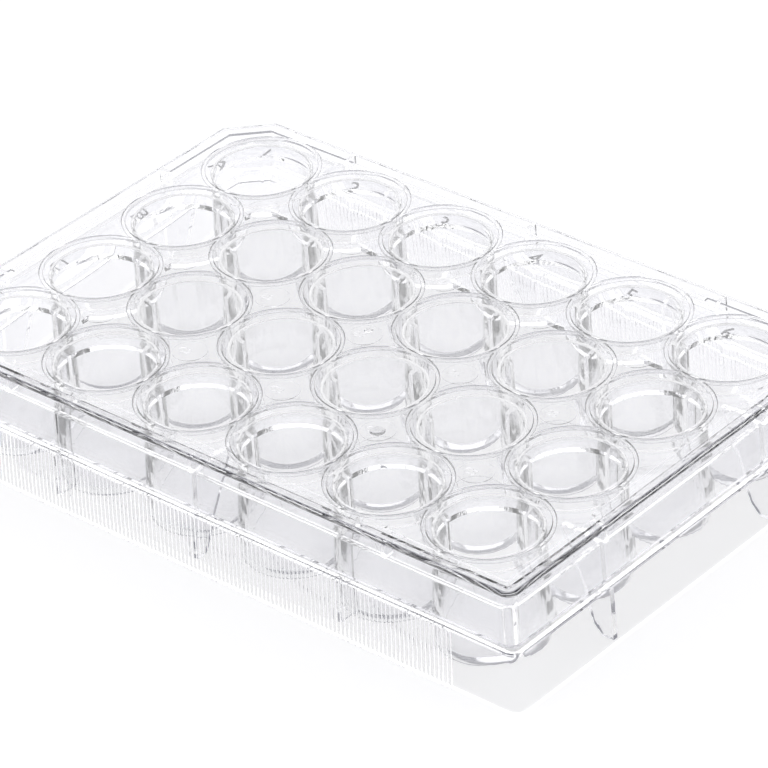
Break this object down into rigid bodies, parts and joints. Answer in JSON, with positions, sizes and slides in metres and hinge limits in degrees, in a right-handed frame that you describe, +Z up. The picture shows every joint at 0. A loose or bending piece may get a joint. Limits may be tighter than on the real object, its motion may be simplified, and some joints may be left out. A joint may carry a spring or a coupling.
{
  "type": "well plate",
  "caption": "Clear moulded laboratory well plate with flat-bottomed round wells in a skirted tray, closed by its clear lid with a ring over each well and a stacking step.",
  "frame": {"origin": "centre of the footprint on the table the plate stands on", "axes": "+X along the columns from 1 to 6, away from the two cut corners; +Y towards row A; +Z up"},
  "size_m": [0.1278, 0.0854, 0.0212],
  "materials": {
    "plate_clear": "clear polystyrene, polished mould, colourless",
    "lid_clear": "clear polystyrene, polished mould, colourless"
  },
  "bodies": {
    "root": {"plate": "plate_clear", "lid": "lid_clear"}
  },
  "joints": []
}
